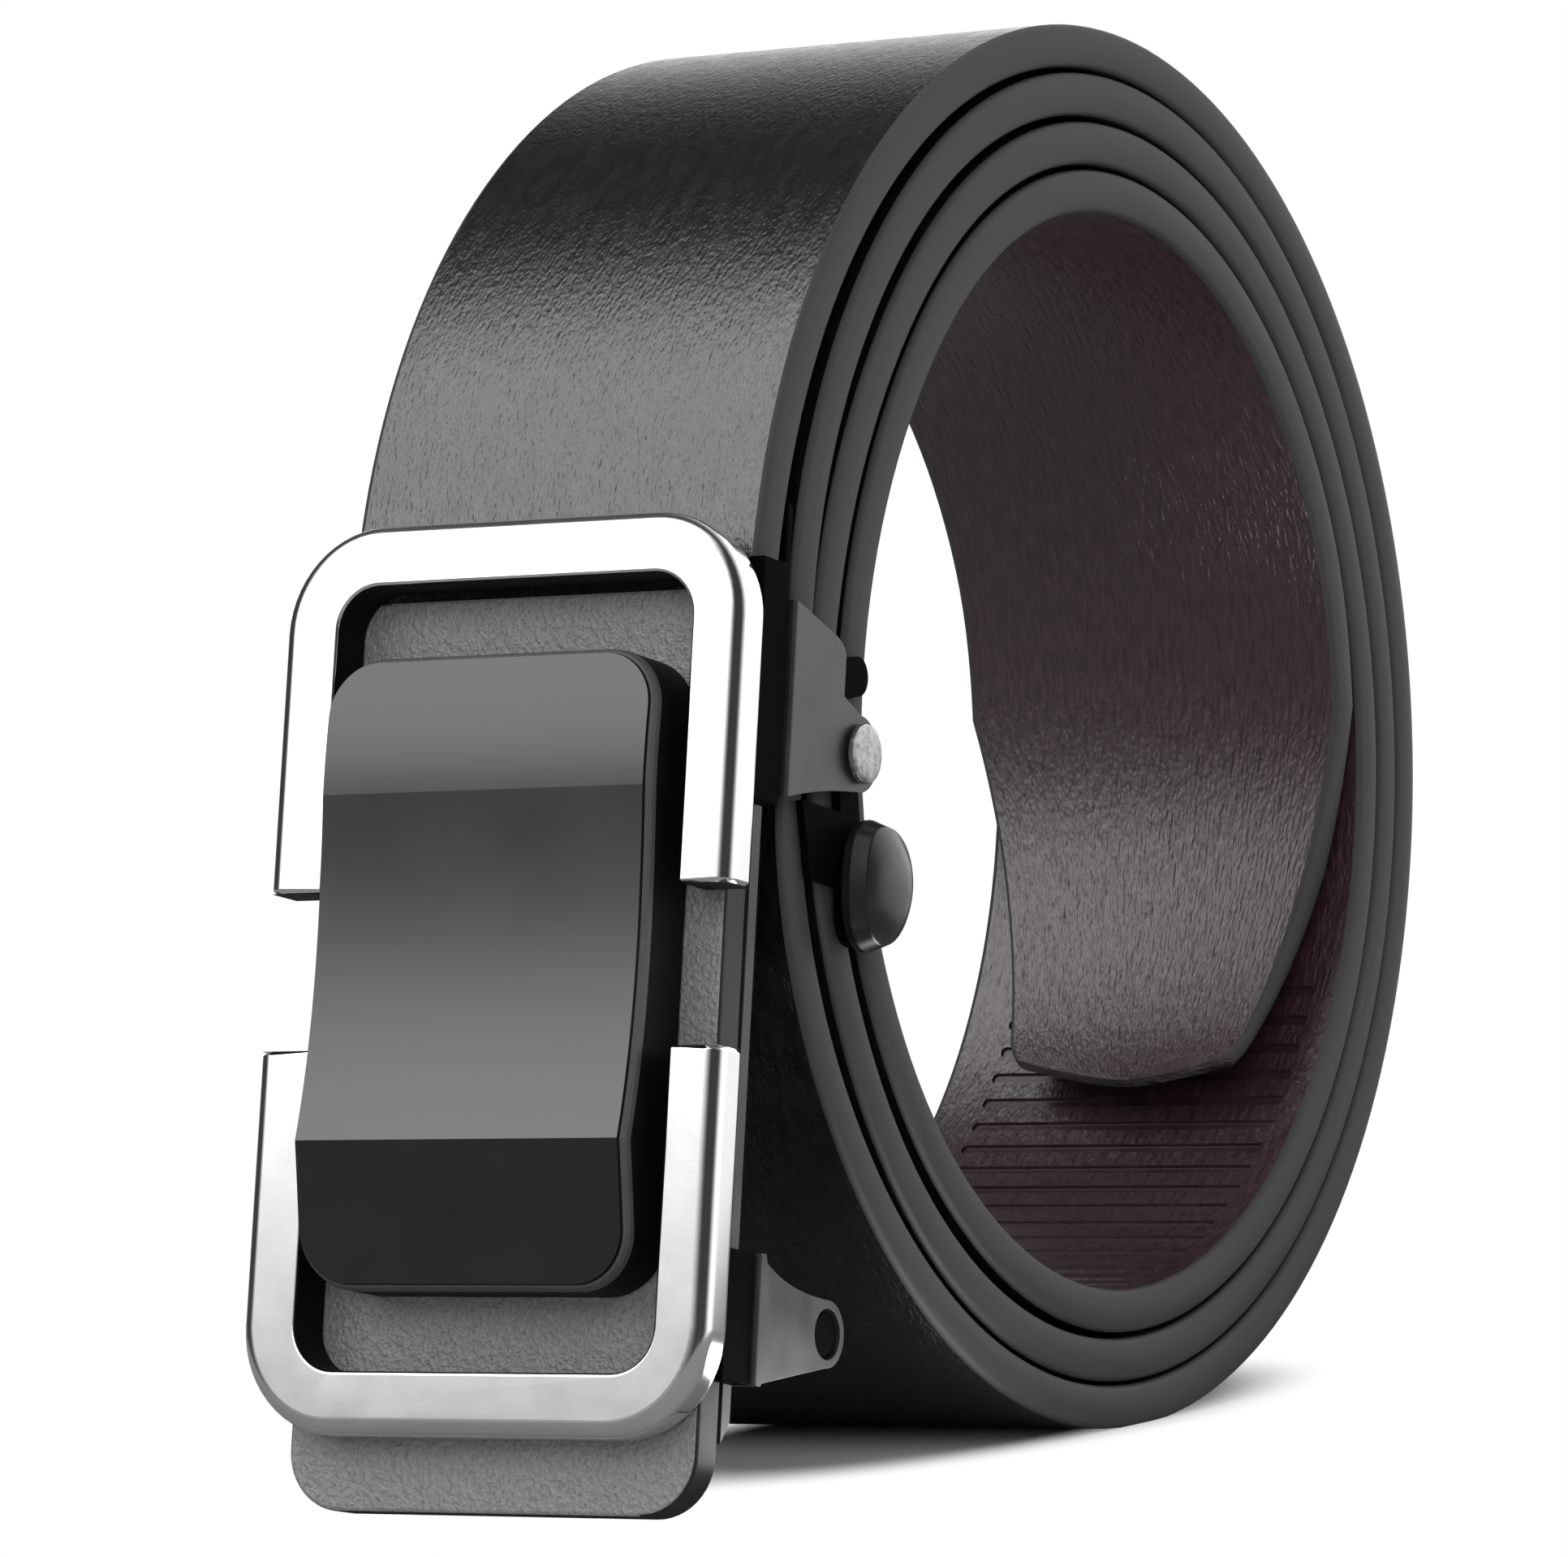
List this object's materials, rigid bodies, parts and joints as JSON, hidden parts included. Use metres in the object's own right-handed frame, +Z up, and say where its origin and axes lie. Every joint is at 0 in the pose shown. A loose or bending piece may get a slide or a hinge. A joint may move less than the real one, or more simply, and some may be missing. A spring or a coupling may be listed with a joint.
{
  "type": "ratchet belt",
  "caption": "Coiled leather belt with a ratchet track at its tapered tail and a framed plate buckle with a side release lever.",
  "frame": {"origin": "middle of the flat on which the coil stands, in the middle of the strap's width", "axes": "+Z up, +Y from the buckle through the coil to its far side, +X across the strap's width, towards the release lever"},
  "size_m": [0.0416, 0.1309, 0.1116],
  "materials": {
    "strap_leather": "black outside with a fine grain, dark brown lining, painted edges",
    "satin_chrome": "satin chromed casting",
    "gunmetal": "smooth dark plated, semi-gloss",
    "grained_plate": "grey with an embossed leather grain",
    "black_steel": "black, semi-gloss",
    "satin_steel": "satin dark grey sheet",
    "rivet_steel": "brushed, slightly mottled"
  },
  "bodies": {
    "belt": {"strap": "strap_leather", "frame_upper": "satin_chrome", "frame_lower": "satin_chrome", "face_plate": "grained_plate", "wave_plate": "gunmetal", "base_plate": "satin_steel", "rail_upper_right": "black_steel", "rail_upper_left": "black_steel", "rail_lower_right": "black_steel", "rail_lower_left": "black_steel", "clamp_jaw": "black_steel", "pawl_plate": "black_steel", "rivet_right": "rivet_steel", "rivet_left": "rivet_steel", "keeper_pin": "black_steel"},
    "lever": {"release_lever": "black_steel"}
  },
  "joints": [
    {"name": "lever_turn", "type": "hinge", "parent": "belt", "child": "lever", "pos_m": [0.0181, -0.04592, 0.05463], "axis": [1, 0, 0], "range_deg": [0, 15], "stiffness_Nm_per_rad": 0.02, "springref_deg": -11.46}
  ]
}
